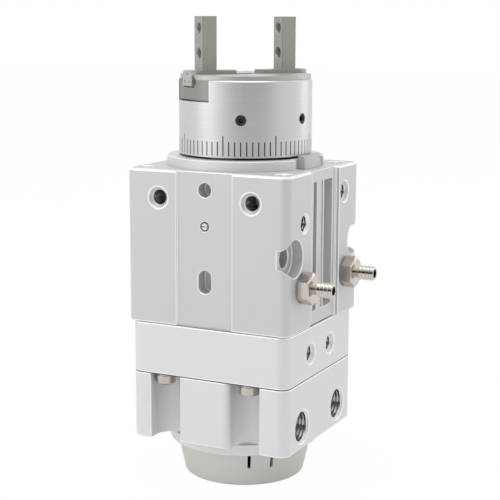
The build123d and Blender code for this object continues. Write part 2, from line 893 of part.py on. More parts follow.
def seal_heights():
    """The heights of the rotor's three seals, which part the two air ways."""
    return (top_seal_z, tube_low + middle_seal_rise, tube_low + low_seal_rise)


def rotor_seals():
    """The sealing rings between rotor and upper block."""
    rings = []
    for z in seal_heights():
        ring_section = seal_section / 2
        rings.append(Pos(0, 0, z) * Torus(tube_r - ring_section + slip, ring_section))
    return grouped(rings)


def bearing_race(r_out, r_in):
    """One race of the ball bearing, with its ball groove."""
    z0 = -bearing_high - rotor_shoulder + slip
    z1 = -rotor_shoulder
    middle = (tube_r + bearing_r) / 2
    groove = Pos(0, 0, (z0 + z1) / 2) * Torus(middle, bearing_ball_r() + running)
    return tube(r_out, r_in, z0, z1) - groove


def bearing_ball_r():
    """The radius of a bearing ball."""
    return (bearing_r - tube_r) / 2 - bearing_ring + 0.5


def bearing_balls():
    """The balls of the rotor bearing."""
    middle = (tube_r + bearing_r) / 2
    z = -bearing_high / 2 - rotor_shoulder
    balls = []
    for k in range(24):
        x, y = polar(middle, 15 * k)
        balls.append(Pos(x, y, z) * Sphere(bearing_ball_r()))
    return grouped(balls)


def lower_bush():
    """The plain bearing of the rotor's lower end."""
    return tube(lower_bush_r, tube_r + running, tube_low - lower_bush_high, tube_low - slip)


def dial():
    """The graduated ring round the rotor head."""
    body = tube(dial_r, rotor_head_r, dial_low, dial_top)
    top_edge = body.edges().filter_by(GeomType.CIRCLE).sort_by(Axis.Z).sort_by(SortBy.RADIUS)[-1]
    body = chamfer(top_edge, dial_chamfer)
    notch = block(-dial_r - 1, dial_r + 1, -rail_half - slip, rail_half + slip, rail_low - loose, dial_top + 1)
    body -= at_angle(notch, -dial_turn)
    marks = []
    for k in range(round(360 / mark_step)):
        high = mark_major_top if k % marks_per_major == 0 else mark_top
        mark = block(dial_r - mark_deep, dial_r + 1, -mark_wide / 2, mark_wide / 2, mark_low, high)
        marks.append(at_angle(mark, mark_step * k))
    body -= marks
    for angle in set_screw_angles:
        body -= at_angle(cyl_x(set_screw_r + slip, rotor_head_r - 1, dial_r + 1, 0, set_screw_z), angle)
    return at_angle(body, opening_angle + dial_turn)


def dial_screws():
    """The four set screws that clamp the dial to the rotor."""
    screws = []
    outer = dial_r - 0.4
    screw = cyl_x(set_screw_r, rotor_head_r - set_screw_bite, outer, 0, set_screw_z)
    socket = Pos(outer - 1.2, 0, set_screw_z) * Rot(0, 90, 0) * hexagon(set_screw_socket_af, 0, 3)
    for angle in set_screw_angles:
        screws.append(at_angle(screw - socket, opening_angle + dial_turn + angle))
    return grouped(screws)


def guide_rail():
    """The steel guide across the dial, with its flange and its ball channel."""
    disc = cyl(rail_r, rail_flange, rail_top)
    bar = block(-rail_end, rail_end, -rail_half, rail_half, rail_low, rail_top)
    bar &= cyl(rail_r, rail_low, rail_top)
    body = (disc & block(-rail_end, rail_end, -rail_r, rail_r, rail_low, rail_top)) + bar
    body -= block(-dial_r, dial_r, -slider_half - running, slider_half + running, channel_floor, rail_top + 1)
    low_groove = ball_z - ball_r - running
    high_groove = ball_z + ball_r + running
    body -= block(-dial_r, dial_r, -channel_wall_n, channel_wall_n, low_groove, high_groove)
    lift = finger_travel / 2 + lever_tip_r + 0.5
    for s in (-pivot_s, pivot_s):
        half = lever_half + lever_gap
        body -= block(s - lift, s + lift, -half, half, rail_low - 1, channel_floor + 1)
    for s in (-rail_screw_s, rail_screw_s):
        for n in (-rail_screw_n, rail_screw_n):
            body -= cyl(rail_screw_shank_r + slip, rail_low, rail_top + 1, s, n)
            body -= cyl(rail_screw_head_r + slip, rail_top - rail_screw_sunk, rail_top + 1, s, n)
    return turned(body)


def rail_screws():
    """The four flat head screws of the guide rail."""
    screws = []
    for s in (-rail_screw_s, rail_screw_s):
        for n in (-rail_screw_n, rail_screw_n):
            seat = rail_top - rail_screw_sunk + slip
            screw = cyl(rail_screw_shank_r, rail_flange - rail_screw_long + 0.5, seat, s, n)
            screw += cyl(rail_screw_head_r, seat, rail_top - 0.15, s, n)
            screw -= Pos(s, n, 0) * hexagon(rail_screw_socket_af, seat + 0.2, rail_top + 1)
            screws.append(turned(screw))
    return grouped(screws)


# Fingers, drawn on the +s side and turned half a turn for the other one

def finger():
    """A gripping finger: slider in the channel, foot and drilled post."""
    low = channel_floor + running
    crown_inner = slider_outer - crown_thick
    slider = block(slider_inner, crown_inner, -slider_half, slider_half, low, foot_low)
    crown = block(crown_inner, slider_outer, -crown_half, crown_half, channel_floor + crown_gap, slider_top)
    round_edges = crown.edges().filter_by(Axis.X).sort_by(Axis.Z)[-2:]
    crown = fillet(round_edges, crown_round)
    body = slider + crown
    body += block(foot_inner, slider_outer - 0.1, -foot_half, foot_half, foot_low - 1, foot_top)
    post = block(post_inner, post_outer, -post_half, post_half, foot_top - 1, post_top)
    post = chamfer(post.edges().filter_by(Axis.Z), 0.15)
    body += post
    tip_s = pivot_s + finger_travel / 2
    room = lever_tip_r + running
    half = lever_half + lever_gap
    body -= block(tip_s - room, tip_s + room, -half, half, low - 1, lever_tip_z + lever_tip_r + lever_gap)
    for k in range(ball_count):
        s = ball_place(k)
        for n in (-slider_half - 0.2, slider_half + 0.2):
            body -= Pos(s, n, ball_z) * Sphere(ball_r + slip)
    for z in (finger_hole_top, finger_hole_top - finger_hole_pitch):
        body -= cyl_x(m3_r, post_inner - 1, post_outer + 1, 0, z)
        body -= cone_x(m3_r, finger_hole_sink_r, post_outer, 0, z)
        body -= cone_x(m3_r, finger_hole_sink_r, post_inner, 0, z, -1)
    for n, z in ((0.0, 25.9), (-1.3, 23.7), (1.3, 23.7)):
        body -= cyl_x(0.35, slider_outer - 0.6, slider_outer + 1, n, z)
    return body


def ball_place(k):
    """The place of a guide ball along the slider."""
    middle = (slider_inner + slider_outer) / 2
    return middle + (k - (ball_count - 1) / 2) * ball_pitch * 1.3


def guide_balls():
    """The balls on both sides of one slider."""
    balls = []
    for k in range(ball_count):
        for n in (-slider_half - 0.2, slider_half + 0.2):
            balls.append(Pos(ball_place(k), n, ball_z) * Sphere(ball_r))
    return grouped(balls)


# Levers, on the +s side, tilted out by half the swing at rest

def lever():
    """A bell crank that turns the piston's stroke into the finger's."""
    up = block(-lever_arm_half, lever_arm_half, -lever_half, lever_half, 0, lever_up)
    up += Pos(0, 0, lever_up) * Rot(90, 0, 0) * Cylinder(lever_tip_r, 2 * lever_half)
    inward = block(-lever_in, 0, -lever_half, lever_half, -lever_in_half, lever_in_half)
    inward += Pos(-lever_in, 0, 0) * Rot(90, 0, 0) * Cylinder(lever_in_tip_r, 2 * lever_half)
    boss = Rot(90, 0, 0) * Cylinder(lever_boss_r, 2 * lever_half)
    hole = Rot(90, 0, 0) * Cylinder(pin_r + running, 2 * lever_half + 2)
    body = up + inward + boss - hole
    return Pos(pivot_s, 0, pivot_z) * Rot(0, math.degrees(lever_tilt), 0) * body


def lever_pins():
    """The two pivot pins of the levers."""
    pins = []
    for s in (-pivot_s, pivot_s):
        pins.append(turned(cyl_y(pin_r, -pin_half, pin_half, s, pivot_z)))
    return grouped(pins)


def rod_joint():
    """The spool on the rod's top that both levers reach into."""
    tip_z = pivot_z + lever_in * math.sin(lever_tilt)
    gap = lever_in_tip_r + running
    body = cyl(spool_neck_r, tip_z - gap - spool_disc, tip_z + gap + spool_disc)
    body += cyl(spool_r, tip_z + gap, tip_z + gap + spool_disc)
    body += cyl(spool_r, tip_z - gap - spool_disc, tip_z - gap)
    return body


def spool_bottom():
    """The height of the spool's lower face at rest."""
    return pivot_z + lever_in * math.sin(lever_tilt) - lever_in_tip_r - running - spool_disc


def piston():
    """The double acting piston, with its seal groove and magnet groove."""
    body = cyl(cylinder_r - running, piston_low, piston_low + piston_high)
    body -= cyl(m3_r + slip, piston_low - 1, piston_low + piston_high + 1)
    for z, high in piston_grooves():
        body -= tube(cylinder_r + 1, cylinder_r - 2.0, z - high / 2, z + high / 2)
    return body


def piston_grooves():
    """Middle height and width of the piston's seal and magnet grooves."""
    return ((piston_low + 2.2, 2 * seal_section), (piston_low + 5.6, magnet_high))


def piston_ring(index, skin):
    """The seal or the magnet of the piston."""
    z, high = piston_grooves()[index]
    r_out = cylinder_r - running - skin
    return tube(r_out, cylinder_r - 2.0 + slip, z - high / 2 + slip, z + high / 2 - slip)


def piston_rod():
    """The rod from the piston to the spool."""
    top = piston_low + piston_high
    body = cyl(rod_r, top + slip, spool_bottom() - slip)
    return body + cyl(m3_r, piston_low, top + 1)


def rod_bush():
    """The bush and seal of the rod in the rotor."""
    return tube(rod_r + bush_wall, rod_r + running, cylinder_top, cylinder_top + 6 - slip)


pieces = {
    "upper_block": upper_block(),
    "switch_rail": switch_rail(),
    "slotted_plug": slotted_plug(),
    "boss_ring": boss_ring(),
    "scale_pointer": scale_pointer(),
    "front_nipple": nipple(pad_right, nipple_front_y),
    "rear_nipple": nipple(rear_pad_x, nipple_rear_y),
    "nipple_gaskets": grouped([gasket(pad_right, nipple_front_y), gasket(rear_pad_x, nipple_rear_y)]),
    "middle_plate": middle_plate(),
    "lower_block": lower_block(),
    "clamp_screws": clamp_screws(),
    "clamp_washers": clamp_washers(),
    "angle_adjusters": angle_adjusters(),
    "bottom_ring": bottom_ring(),
    "ring_screws": ring_screws(),
    "cap": cap(),
    "cap_screws": cap_screws(),
    "stopper": stopper(),
    "switch_board": switch_board(),
    "upper_shaft_bush": shaft_bush(lower_top + slip, lower_top + plate_bush_high),
    "lower_shaft_bush": shaft_bush(ring_low + 0.2, lower_low - 0.2),
    "bearing_outer": bearing_race(bearing_r, bearing_r - bearing_ring),
    "lower_bush": lower_bush(),
    "vane_shaft": vane_shaft(),
    "vane": vane(),
    "vane_seal": vane_seal(),
    "stop_lever": stop_lever(),
    "magnet_arm": magnet_arm(),
    "sensor_magnet": sensor_magnet(),
    "coupling": coupling(),
    "end_plug": end_plug(),
    "rotor": rotor(),
    "rotor_seals": rotor_seals(),
    "bearing_inner": bearing_race(tube_r + bearing_ring, tube_r + slip),
    "bearing_balls": bearing_balls(),
    "dial": dial(),
    "dial_screws": dial_screws(),
    "guide_rail": guide_rail(),
    "rail_screws": rail_screws(),
    "lever_pins": lever_pins(),
    "rod_bush": rod_bush(),
    "right_finger": turned(finger()),
    "left_finger": turned(at_angle(finger(), 180)),
    "right_balls": turned(guide_balls()),
    "left_balls": turned(at_angle(guide_balls(), 180)),
    "right_lever": turned(lever()),
    "left_lever": turned(at_angle(lever(), 180)),
    "rod_joint": rod_joint(),
    "piston": piston(),
    "piston_seal": piston_ring(0, 0),
    "piston_magnet": piston_ring(1, 0.5),
    "piston_rod": piston_rod(),
}

for name, shape in pieces.items():
    save(shape, name)
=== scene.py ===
import json
import math

import bpy
import numpy as np
from mathutils import Matrix, Vector


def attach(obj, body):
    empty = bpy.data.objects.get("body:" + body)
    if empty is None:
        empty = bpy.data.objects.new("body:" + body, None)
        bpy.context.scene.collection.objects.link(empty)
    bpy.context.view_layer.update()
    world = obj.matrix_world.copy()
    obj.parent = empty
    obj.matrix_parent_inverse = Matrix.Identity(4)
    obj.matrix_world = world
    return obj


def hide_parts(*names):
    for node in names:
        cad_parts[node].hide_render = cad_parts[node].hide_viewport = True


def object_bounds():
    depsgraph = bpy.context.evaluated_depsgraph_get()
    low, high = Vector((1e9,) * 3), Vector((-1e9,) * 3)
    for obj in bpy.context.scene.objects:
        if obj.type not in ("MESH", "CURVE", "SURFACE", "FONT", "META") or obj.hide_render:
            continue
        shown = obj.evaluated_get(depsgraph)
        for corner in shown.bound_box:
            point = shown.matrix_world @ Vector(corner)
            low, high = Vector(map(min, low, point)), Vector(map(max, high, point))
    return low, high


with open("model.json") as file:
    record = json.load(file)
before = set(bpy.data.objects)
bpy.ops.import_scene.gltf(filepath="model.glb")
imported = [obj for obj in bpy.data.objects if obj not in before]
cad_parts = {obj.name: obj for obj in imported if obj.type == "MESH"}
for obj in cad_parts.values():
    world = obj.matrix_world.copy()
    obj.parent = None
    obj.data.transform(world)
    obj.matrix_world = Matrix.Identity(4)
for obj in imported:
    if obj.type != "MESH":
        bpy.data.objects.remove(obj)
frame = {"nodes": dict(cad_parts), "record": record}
cad_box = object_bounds()
mm = 0.001

# The room.
# The gripper is photographed on plain white, in soft and even light from all sides. The place
# beside the camera is dark, and leaves a broad grey band down the middle of the turned dial.

scene = bpy.context.scene
scene.view_settings.view_transform = "Standard"

camera_yaw = math.radians(26.295)
camera_pitch = math.radians(10.062)
camera_roll = math.radians(0.227)
camera_place = Vector((164.58, -329.85, 40.07)) * mm
camera_lens = 92.46
camera_sensor = 36.0
near_clip = 0.01
fill_light = 0.76
dark_side = math.radians(-55.0)
dark_outer = 0.60
dark_inner = 0.97

back = Vector((
    math.sin(camera_yaw) * math.cos(camera_pitch),
    -math.cos(camera_yaw) * math.cos(camera_pitch),
    math.sin(camera_pitch),
))
level_right = Vector((math.cos(camera_yaw), math.sin(camera_yaw), 0.0))
level_up = back.cross(level_right)
view_right = level_right * math.cos(camera_roll) + level_up * math.sin(camera_roll)
view_up = level_up * math.cos(camera_roll) - level_right * math.sin(camera_roll)
camera_data = bpy.data.cameras.new("camera")
camera_data.lens = camera_lens
camera_data.sensor_width = camera_sensor
camera_data.clip_start = near_clip
camera = bpy.data.objects.new("camera", camera_data)
turn = Matrix((view_right, view_up, back)).transposed()
camera.matrix_world = Matrix.Translation(camera_place) @ turn.to_4x4()
scene.collection.objects.link(camera)
scene.camera = camera


def soft_lamp(name, place, aim, width, height, power):
    """A rectangular lamp at a place, turned to its aim, in metres and watts."""
    data = bpy.data.lights.new(name, "AREA")
    data.shape = "RECTANGLE"
    data.size = width
    data.size_y = height
    data.energy = power
    lamp = bpy.data.objects.new(name, data)
    look = Vector(aim) - Vector(place)
    lamp.location = place
    lamp.rotation_euler = look.to_track_quat("-Z", "Y").to_euler()
    scene.collection.objects.link(lamp)


middle = (cad_box[0] + cad_box[1]) / 2
soft_lamp("left_lamp", (-0.62, -0.72, 0.35), middle, width=0.6, height=0.9, power=2.2)
soft_lamp("right_lamp", (0.55, 0.80, 0.30), middle, width=0.35, height=0.9, power=1.2)
soft_lamp("top_lamp", (0.0, -0.1, 0.95), middle, width=0.7, height=0.7, power=4.0)

world = bpy.data.worlds.new("white_room")
scene.world = world
world.use_nodes = True
room = world.node_tree
room.nodes.clear()
room_out = room.nodes.new("ShaderNodeOutputWorld")
room_light = room.nodes.new("ShaderNodeBackground")
room_light.inputs["Color"].default_value = (1.0, 1.0, 1.0, 1.0)
room_light.inputs["Strength"].default_value = fill_light
room_white = room.nodes.new("ShaderNodeBackground")
room_white.inputs["Strength"].default_value = 1.0
room_way = room.nodes.new("ShaderNodeTexCoord")
room_dot = room.nodes.new("ShaderNodeVectorMath")
room_dot.operation = "DOT_PRODUCT"
room_dot.inputs[1].default_value = (math.cos(dark_side), math.sin(dark_side), 0.0)
room_fall = room.nodes.new("ShaderNodeMapRange")
room_fall.interpolation_type = "SMOOTHSTEP"
room_fall.inputs["From Min"].default_value = dark_outer
room_fall.inputs["From Max"].default_value = dark_inner
room_fall.inputs["To Min"].default_value = 1.0
room_fall.inputs["To Max"].default_value = 0.0
room_ray = room.nodes.new("ShaderNodeLightPath")
room_seen = room.nodes.new("ShaderNodeMath")
room_seen.operation = "MAXIMUM"
room_mirror = room.nodes.new("ShaderNodeMath")
room_mirror.operation = "MAXIMUM"
room_shade = room.nodes.new("ShaderNodeMath")
room_shade.operation = "MAXIMUM"
room_mix = room.nodes.new("ShaderNodeMixShader")
room.links.new(room_way.outputs["Generated"], room_dot.inputs[0])
room.links.new(room_dot.outputs["Value"], room_fall.inputs["Value"])
room.links.new(room_fall.outputs["Result"], room_shade.inputs[0])
room.links.new(room_ray.outputs["Is Camera Ray"], room_shade.inputs[1])
room.links.new(room_shade.outputs["Value"], room_white.inputs["Color"])
room.links.new(room_ray.outputs["Is Glossy Ray"], room_mirror.inputs[0])
room.links.new(room_ray.outputs["Is Transmission Ray"], room_mirror.inputs[1])
room.links.new(room_ray.outputs["Is Camera Ray"], room_seen.inputs[0])
room.links.new(room_mirror.outputs["Value"], room_seen.inputs[1])
room.links.new(room_seen.outputs["Value"], room_mix.inputs["Fac"])
room.links.new(room_light.outputs["Background"], room_mix.inputs[1])
room.links.new(room_white.outputs["Background"], room_mix.inputs[2])
room.links.new(room_mix.outputs["Shader"], room_out.inputs["Surface"])


def plain_material(name):
    """A new material with its Principled BSDF, its node tree and an Object coordinate node."""
    material = bpy.data.materials.new(name)
    material.use_nodes = True
    tree = material.node_tree
    shader = tree.nodes["Principled BSDF"]
    place = tree.nodes.new("ShaderNodeTexCoord")
    return material, tree, shader, place.outputs["Object"]


# The floor.
# A white sheet under the gripper, so pale that it melts into the background and keeps only a
# faint shadow of the cap.

floor_half = 3.0
floor_gap = 0.2 * mm
floor_white = 0.96
floor_height = cad_box[0].z - floor_gap
floor_mesh = bpy.data.meshes.new("floor")
floor_mesh.from_pydata(
    [(-floor_half, -floor_half, floor_height), (floor_half, -floor_half, floor_height),
     (floor_half, floor_half, floor_height), (-floor_half, floor_half, floor_height)],
    [], [(0, 1, 2, 3)],
)
floor = bpy.data.objects.new("floor", floor_mesh)
scene.collection.objects.link(floor)
floor_material, tree, shader, _ = plain_material("white_floor")
shader.inputs["Base Color"].default_value = (0.95, 0.95, 0.95, 1.0)
shader.inputs["Roughness"].default_value = 0.7
shader.inputs["Specular IOR Level"].default_value = 0.1
floor_glow = tree.nodes.new("ShaderNodeEmission")
floor_glow.inputs["Color"].default_value = (1.0, 1.0, 1.0, 1.0)
floor_ray = tree.nodes.new("ShaderNodeLightPath")
floor_share = tree.nodes.new("ShaderNodeMath")
floor_share.operation = "MULTIPLY"
floor_share.inputs[1].default_value = floor_white
floor_seen = tree.nodes.new("ShaderNodeMath")
floor_seen.operation = "MAXIMUM"
floor_mix = tree.nodes.new("ShaderNodeMixShader")
tree.links.new(floor_ray.outputs["Is Camera Ray"], floor_seen.inputs[0])
tree.links.new(floor_ray.outputs["Is Glossy Ray"], floor_seen.inputs[1])
tree.links.new(floor_seen.outputs["Value"], floor_share.inputs[0])
tree.links.new(floor_share.outputs["Value"], floor_mix.inputs["Fac"])
tree.links.new(shader.outputs["BSDF"], floor_mix.inputs[1])
tree.links.new(floor_glow.outputs["Emission"], floor_mix.inputs[2])
tree.links.new(floor_mix.outputs["Shader"], tree.nodes["Material Output"].inputs["Surface"])
floor.data.materials.append(floor_material)


# Upper block, middle plate and lower block.
# Three machined aluminium blocks, fine blasted and clear anodised: an even satin grey with a
# barely visible grain, a little brighter on the two lower ones. Their edges are broken, and the
# narrow faces of the broken edges are painted a pale grey: a painted highlight.

block_grey = (0.55, 0.55, 0.555, 1.0)
plate_grey = (0.66, 0.66, 0.665, 1.0)
edge_highlight_grey = (0.86, 0.86, 0.865, 1.0)
block_edge = 0.24 * mm
round_edge = 0.15 * mm
fine_edge = 0.1 * mm
block_grain = 2600.0
grain_height = 0.02 * mm
weld_distance = 0.002 * mm
flat_angle = math.radians(0.6)
sharp_angle = math.radians(35.0)
filed_angle = math.radians(40.0)


def new_group(name, inputs, outputs):
    """A shader node group with named sockets: (name, kind, value) in, (name, kind) out."""
    group = bpy.data.node_groups.new(name, "ShaderNodeTree")
    for label, kind, value in inputs:
        socket = group.interface.new_socket(label, in_out="INPUT", socket_type=kind)
        socket.default_value = value
    for label, kind in outputs:
        group.interface.new_socket(label, in_out="OUTPUT", socket_type=kind)
    return group, group.nodes.new("NodeGroupInput"), group.nodes.new("NodeGroupOutput")


def satin_grain_group():
    """Two noises, one fine and one broad, made into a tint, a roughness and a height."""
    group, inside, outside = new_group(
        "satin_grain",
        [("Vector", "NodeSocketVector", (0, 0, 0)), ("Color", "NodeSocketColor", (0.6, 0.6, 0.6, 1)),
         ("Scale", "NodeSocketFloat", 2000.0), ("Depth", "NodeSocketFloat", 0.05),
         ("Roughness", "NodeSocketFloat", 0.4)],
        [("Color", "NodeSocketColor"), ("Roughness", "NodeSocketFloat"), ("Height", "NodeSocketFloat")],
    )
    fine = group.nodes.new("ShaderNodeTexNoise")
    fine.inputs["Detail"].default_value = 2.0
    group.links.new(inside.outputs["Vector"], fine.inputs["Vector"])
    group.links.new(inside.outputs["Scale"], fine.inputs["Scale"])
    broad = group.nodes.new("ShaderNodeTexNoise")
    broad.inputs["Scale"].default_value = 60.0
    broad.inputs["Detail"].default_value = 3.0
    group.links.new(inside.outputs["Vector"], broad.inputs["Vector"])
    blend = group.nodes.new("ShaderNodeMath")
    blend.operation = "MULTIPLY_ADD"
    blend.inputs[1].default_value = 0.5
    group.links.new(broad.outputs["Fac"], blend.inputs[0])
    half = group.nodes.new("ShaderNodeMath")
    half.operation = "MULTIPLY"
    half.inputs[1].default_value = 0.5
    group.links.new(fine.outputs["Fac"], half.inputs[0])
    group.links.new(half.outputs["Value"], blend.inputs[2])
    centred = group.nodes.new("ShaderNodeMath")
    centred.operation = "SUBTRACT"
    centred.inputs[1].default_value = 0.5
    group.links.new(blend.outputs["Value"], centred.inputs[0])
    shade = group.nodes.new("ShaderNodeMath")
    shade.operation = "MULTIPLY_ADD"
    shade.inputs[2].default_value = 1.0
    group.links.new(centred.outputs["Value"], shade.inputs[0])
    group.links.new(inside.outputs["Depth"], shade.inputs[1])
    tint = group.nodes.new("ShaderNodeVectorMath")
    tint.operation = "SCALE"
    group.links.new(inside.outputs["Color"], tint.inputs[0])
    group.links.new(shade.outputs["Value"], tint.inputs["Scale"])
    group.links.new(tint.outputs["Vector"], outside.inputs["Color"])
    rough = group.nodes.new("ShaderNodeMath")
    rough.operation = "MULTIPLY_ADD"
    rough.inputs[1].default_value = 0.25
    group.links.new(centred.outputs["Value"], rough.inputs[0])
    group.links.new(inside.outputs["Roughness"], rough.inputs[2])
    group.links.new(rough.outputs["Value"], outside.inputs["Roughness"])
    group.links.new(fine.outputs["Fac"], outside.inputs["Height"])
    return group


satin_grain = satin_grain_group()


def grain_node(tree, place, colour, roughness, scale, depth):
    """The satin grain at a place, with its colour, roughness, scale and depth."""
    grain = tree.nodes.new("ShaderNodeGroup")
    grain.node_tree = satin_grain
    grain.inputs["Color"].default_value = colour
    grain.inputs["Roughness"].default_value = roughness
    grain.inputs["Scale"].default_value = scale
    grain.inputs["Depth"].default_value = depth
    tree.links.new(place, grain.inputs["Vector"])
    return grain


def shallow_bump(tree, height, strength):
    """The normal that a height gives, in relief as low as the grain."""
    lift = tree.nodes.new("ShaderNodeBump")
    lift.inputs["Strength"].default_value = strength
    lift.inputs["Distance"].default_value = grain_height
    tree.links.new(height, lift.inputs["Height"])
    return lift.outputs["Normal"]


def satin_metal(name, colour, metallic, roughness, scale=block_grain, depth=0.1, bump=0.3):
    """A blasted or ground metal: satin grain on colour, roughness and a shallow bump."""
    material, tree, shader, place = plain_material(name)
    grain = grain_node(tree, place, colour, roughness, scale, depth)
    normal = shallow_bump(tree, grain.outputs["Height"], bump)
    shader.inputs["Metallic"].default_value = metallic
    tree.links.new(grain.outputs["Color"], shader.inputs["Base Color"])
    tree.links.new(grain.outputs["Roughness"], shader.inputs["Roughness"])
    tree.links.new(normal, shader.inputs["Normal"])
    return material


def dressed(node, body, material, edge=block_edge, highlight_material=None):
    """A copy of a node's mesh, merged and dissolved to its true faces, with its edges broken. The
    narrow faces of the broken edges may have a material of their own, a pale one that paints a
    highlight on them."""
    mesh = frame["nodes"][node].data.copy()
    piece = bpy.data.objects.new(node + "_finished", mesh)
    scene.collection.objects.link(piece)
    mesh.materials.clear()
    mesh.materials.append(material)
    if highlight_material:
        mesh.materials.append(highlight_material)
    weld = piece.modifiers.new("weld", "WELD")
    weld.merge_threshold = weld_distance
    flatten = piece.modifiers.new("flatten", "DECIMATE")
    flatten.decimate_type = "DISSOLVE"
    flatten.angle_limit = flat_angle
    depsgraph = bpy.context.evaluated_depsgraph_get()
    merged = bpy.data.meshes.new_from_object(piece.evaluated_get(depsgraph))
    piece.modifiers.clear()
    piece.data = merged
    merged.shade_smooth()
    merged.set_sharp_from_angle(angle=sharp_angle)
    if edge:
        bevel = piece.modifiers.new("broken_edges", "BEVEL")
        bevel.width = edge
        bevel.segments = 2
        bevel.material = 1 if highlight_material else -1
        bevel.limit_method = "ANGLE"
        bevel.angle_limit = filed_angle
        bevel.use_clamp_overlap = False
        bevel.loop_slide = False
        bevel.miter_outer = "MITER_ARC"
    even = piece.modifiers.new("even_normals", "WEIGHTED_NORMAL")
    even.keep_sharp = True
    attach(piece, body)
    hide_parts(node)
    return piece


block_satin = satin_metal("block_satin", block_grey, metallic=0.28, roughness=0.46, bump=0.35)
plate_satin = satin_metal("plate_satin", plate_grey, metallic=0.28, roughness=0.44, bump=0.35)
# The narrow faces of the broken edges are painted a pale grey: a painted highlight.
edge_highlight = satin_metal("edge_highlight", edge_highlight_grey, metallic=0.2, roughness=0.35, bump=0.2)
dressed("upper_block", "housing", block_satin, highlight_material=edge_highlight)
dressed("switch_rail", "housing", block_satin, fine_edge, edge_highlight)
dressed("boss_ring", "housing", plate_satin, round_edge, edge_highlight)
dressed("middle_plate", "housing", plate_satin, highlight_material=edge_highlight)
dressed("lower_block", "housing", plate_satin, highlight_material=edge_highlight)
dressed("bottom_ring", "housing", plate_satin, fine_edge, edge_highlight)


# Joint lines of the stack.
# A thin dark band, black in the lower joint and grey in the upper one, lies in the groove that
# the two broken edges of the blocks leave: painted shade in the joint lines.

stack_left, stack_right = -23.5 * mm, 25.3 * mm
stack_front, stack_rear = -25.5 * mm, 21.5 * mm
stack_corner = 3.2 * mm
lower_joint, upper_joint = -58.2 * mm, -43.5 * mm
shade_band_inset = 0.10 * mm
shade_band_half = 0.12 * mm
corner_steps = 16
gap_shade_black = (0.06, 0.06, 0.06, 1.0)
gasket_and_gap_shade_pale = (0.25, 0.25, 0.25, 1.0)


def new_piece(name, points, faces, materials):
    """A mesh object from arrays of points and faces, with its materials."""
    mesh = bpy.data.meshes.new(name)
    mesh.from_pydata(points.tolist(), [], faces.tolist())
    for material in materials:
        mesh.materials.append(material)
    piece = bpy.data.objects.new(name, mesh)
    scene.collection.objects.link(piece)
    return piece


def joint_band(name, height, material):
    """A closed band of triangular section: its section is carried along a rounded rectangle, whose
    points are the corner centres plus the radius times the cosine and sine of the angle."""
    angle = np.linspace(0.0, 0.5 * np.pi, corner_steps)
    turns = np.concatenate([angle + 0.5 * np.pi * k for k in range(4)])
    in_x = np.repeat([stack_right - stack_corner, stack_left + stack_corner,
                      stack_left + stack_corner, stack_right - stack_corner], corner_steps)
    in_y = np.repeat([stack_rear - stack_corner, stack_rear - stack_corner,
                      stack_front + stack_corner, stack_front + stack_corner], corner_steps)
    tip = (-2 * shade_band_inset, 0.0)
    section = np.array([(-shade_band_inset, shade_band_half), tip, (-shade_band_inset, -shade_band_half)])
    reach = stack_corner + section[None, :, 0]
    x = in_x[:, None] + reach * np.cos(turns)[:, None]
    y = in_y[:, None] + reach * np.sin(turns)[:, None]
    z = height + np.broadcast_to(section[None, :, 1], x.shape)
    points = np.stack([x, y, z], axis=-1).reshape(-1, 3)
    row = np.arange(4 * corner_steps)
    faces = []
    for k in range(3):
        a, b = row * 3 + k, row * 3 + (k + 1) % 3
        faces.append(np.stack([a, np.roll(a, -1), np.roll(b, -1), b], axis=-1))
    band = new_piece(name, points, np.concatenate(faces), [material])
    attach(band, "housing")


# Painted shade in the joints between the blocks: dark bands laid in their grooves.
gap_shade_dark = satin_metal("gap_shade_dark", gap_shade_black, metallic=0.0, roughness=0.7, depth=0.2)
gasket_and_gap_shade_grey = satin_metal("gasket_and_gap_shade_grey", gasket_and_gap_shade_pale, metallic=0.0, roughness=0.7, depth=0.2)
joint_band("lower_joint_shade", lower_joint, gap_shade_dark)
joint_band("upper_joint_shade", upper_joint, gasket_and_gap_shade_grey)


# Threads.
# The ridges that a tap cut into the holes of the blocks catch the light. The thread walls are
# painted a darker grey than the blocks, painted shade for the inside of the holes, and their
# countersinks are painted as pale as the broken edges: a painted highlight. Places, radii,
# pitches and lengths are in millimetres.

circle_steps = 48
thread_rows = 8
thread_rise = 0.25
thread_shade_grey = (0.42, 0.42, 0.42, 1.0)
m5_thread = (2.08, 0.8)
m4_thread = (1.63, 0.7)
m3_thread = (1.23, 0.5)
adjuster_thread = (4.18, 1.0)
tap_long = 6.4
tap_sink = 1.05
pad_sink = 0.55
front_tap_x, front_tap_y, front_tap_z = 14.25, -24.4, -7.75
port_long = 5.6
port_x, port_z = 24.2, -51.3
top_long = 6.3
top_sink = 0.65
top_tap_x, top_tap_z = 21.5, -0.7
adjuster_long = 3.5
adjuster_sink = 0.6
adjuster_x, adjuster_z = 24.6, -71.2
to_rear, to_left, to_below = (0, 1, 0), (-1, 0, 0), (0, 0, -1)


